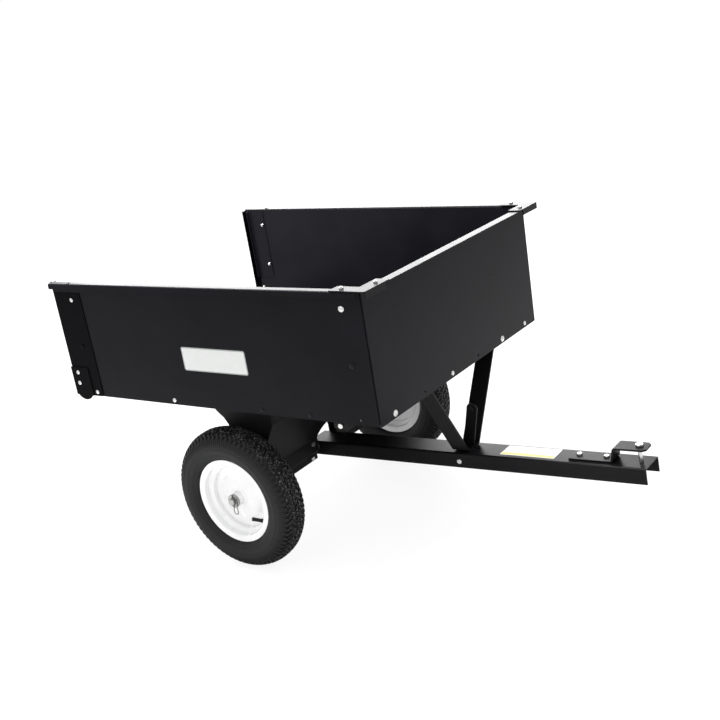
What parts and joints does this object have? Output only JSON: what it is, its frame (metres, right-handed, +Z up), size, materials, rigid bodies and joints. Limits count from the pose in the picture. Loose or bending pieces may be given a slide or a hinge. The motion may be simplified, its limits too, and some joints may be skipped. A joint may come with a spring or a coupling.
{
  "type": "tipping dump cart",
  "caption": "Steel garden cart with an open-backed rectangular bed that tips about its wheel axle on a tow bar with a hitch jaw, drop pin and latch lever.",
  "frame": {"origin": "on the ground, in the middle of the cart's length and width", "axes": "+X to the hitch, +Y to the left side, +Z up"},
  "size_m": [1.5324, 0.8774, 0.8106],
  "materials": {
    "black_paint": "satin black powder coat",
    "zinc": "bright zinc plate",
    "white_paint": "gloss white enamel",
    "tyre_rubber": "matt black rubber",
    "tube_rubber": "smooth black rubber",
    "bearing": "dull steel"
  },
  "bodies": {
    "tongue": {"tongue_channel": "black_paint", "hitch_strap": "black_paint", "hitch_bolts": "zinc", "tongue_bush": "zinc", "latch_pivot_bolt": "zinc", "latch_spacers": "zinc"},
    "pin": {"hitch_pin": "zinc"},
    "latch": {"latch_lever": "black_paint"},
    "bed": {"floor_pan": "black_paint", "front_panel": "black_paint", "side_panel_right": "black_paint", "side_panel_left": "black_paint", "corner_plate_right": "black_paint", "corner_plate_left": "black_paint", "rear_post_right": "black_paint", "rear_post_left": "black_paint", "tailgate_guide_right": "black_paint", "tailgate_guide_left": "black_paint", "rear_foot_right": "black_paint", "rear_foot_left": "black_paint", "cross_rail": "black_paint", "bolster_front": "black_paint", "bolster_rear": "black_paint", "axle_bracket_right": "black_paint", "axle_bracket_left": "black_paint", "v_brace": "black_paint", "axle": "zinc", "side_bolts_right": "zinc", "side_bolts_left": "zinc", "post_bolts_right": "zinc", "post_bolts_left": "zinc", "front_bolts": "zinc", "rim_bolts": "zinc", "bolster_bolts": "zinc", "brace_bolts": "zinc", "clamp_bolts": "zinc", "rail_bolts": "zinc", "axle_spacers": "zinc", "axle_washers": "zinc", "hairpin_clips": "zinc"},
    "wheel_right": {"tyre_right": "tyre_rubber", "inner_tube_right": "tube_rubber", "rim_right": "white_paint", "hub_right": "white_paint", "bearings_right": "bearing", "valve_right": "tube_rubber"},
    "wheel_left": {"tyre_left": "tyre_rubber", "inner_tube_left": "tube_rubber", "rim_left": "white_paint", "hub_left": "white_paint", "bearings_left": "bearing", "valve_left": "tube_rubber"}
  },
  "joints": [
    {"name": "dump_tilt", "type": "hinge", "parent": "tongue", "child": "bed", "pos_m": [-0.2399, 0, 0.2], "axis": [0, -1, 0], "range_deg": [0, 45]},
    {"name": "wheel_right_spin", "type": "hinge", "parent": "bed", "child": "wheel_right", "pos_m": [-0.2399, -0.374, 0.2], "axis": [0, 1, 0], "continuous": true},
    {"name": "wheel_left_spin", "type": "hinge", "parent": "bed", "child": "wheel_left", "pos_m": [-0.2399, 0.374, 0.2], "axis": [0, 1, 0], "continuous": true},
    {"name": "latch_swing", "type": "hinge", "parent": "tongue", "child": "latch", "pos_m": [0.24989, 0, 0.21609], "axis": [0, 1, 0], "range_deg": [-15, 15]},
    {"name": "pin_lift", "type": "slide", "parent": "tongue", "child": "pin", "axis": [-0.0471, 0, 0.9989], "range_m": [0, 0.08]}
  ]
}
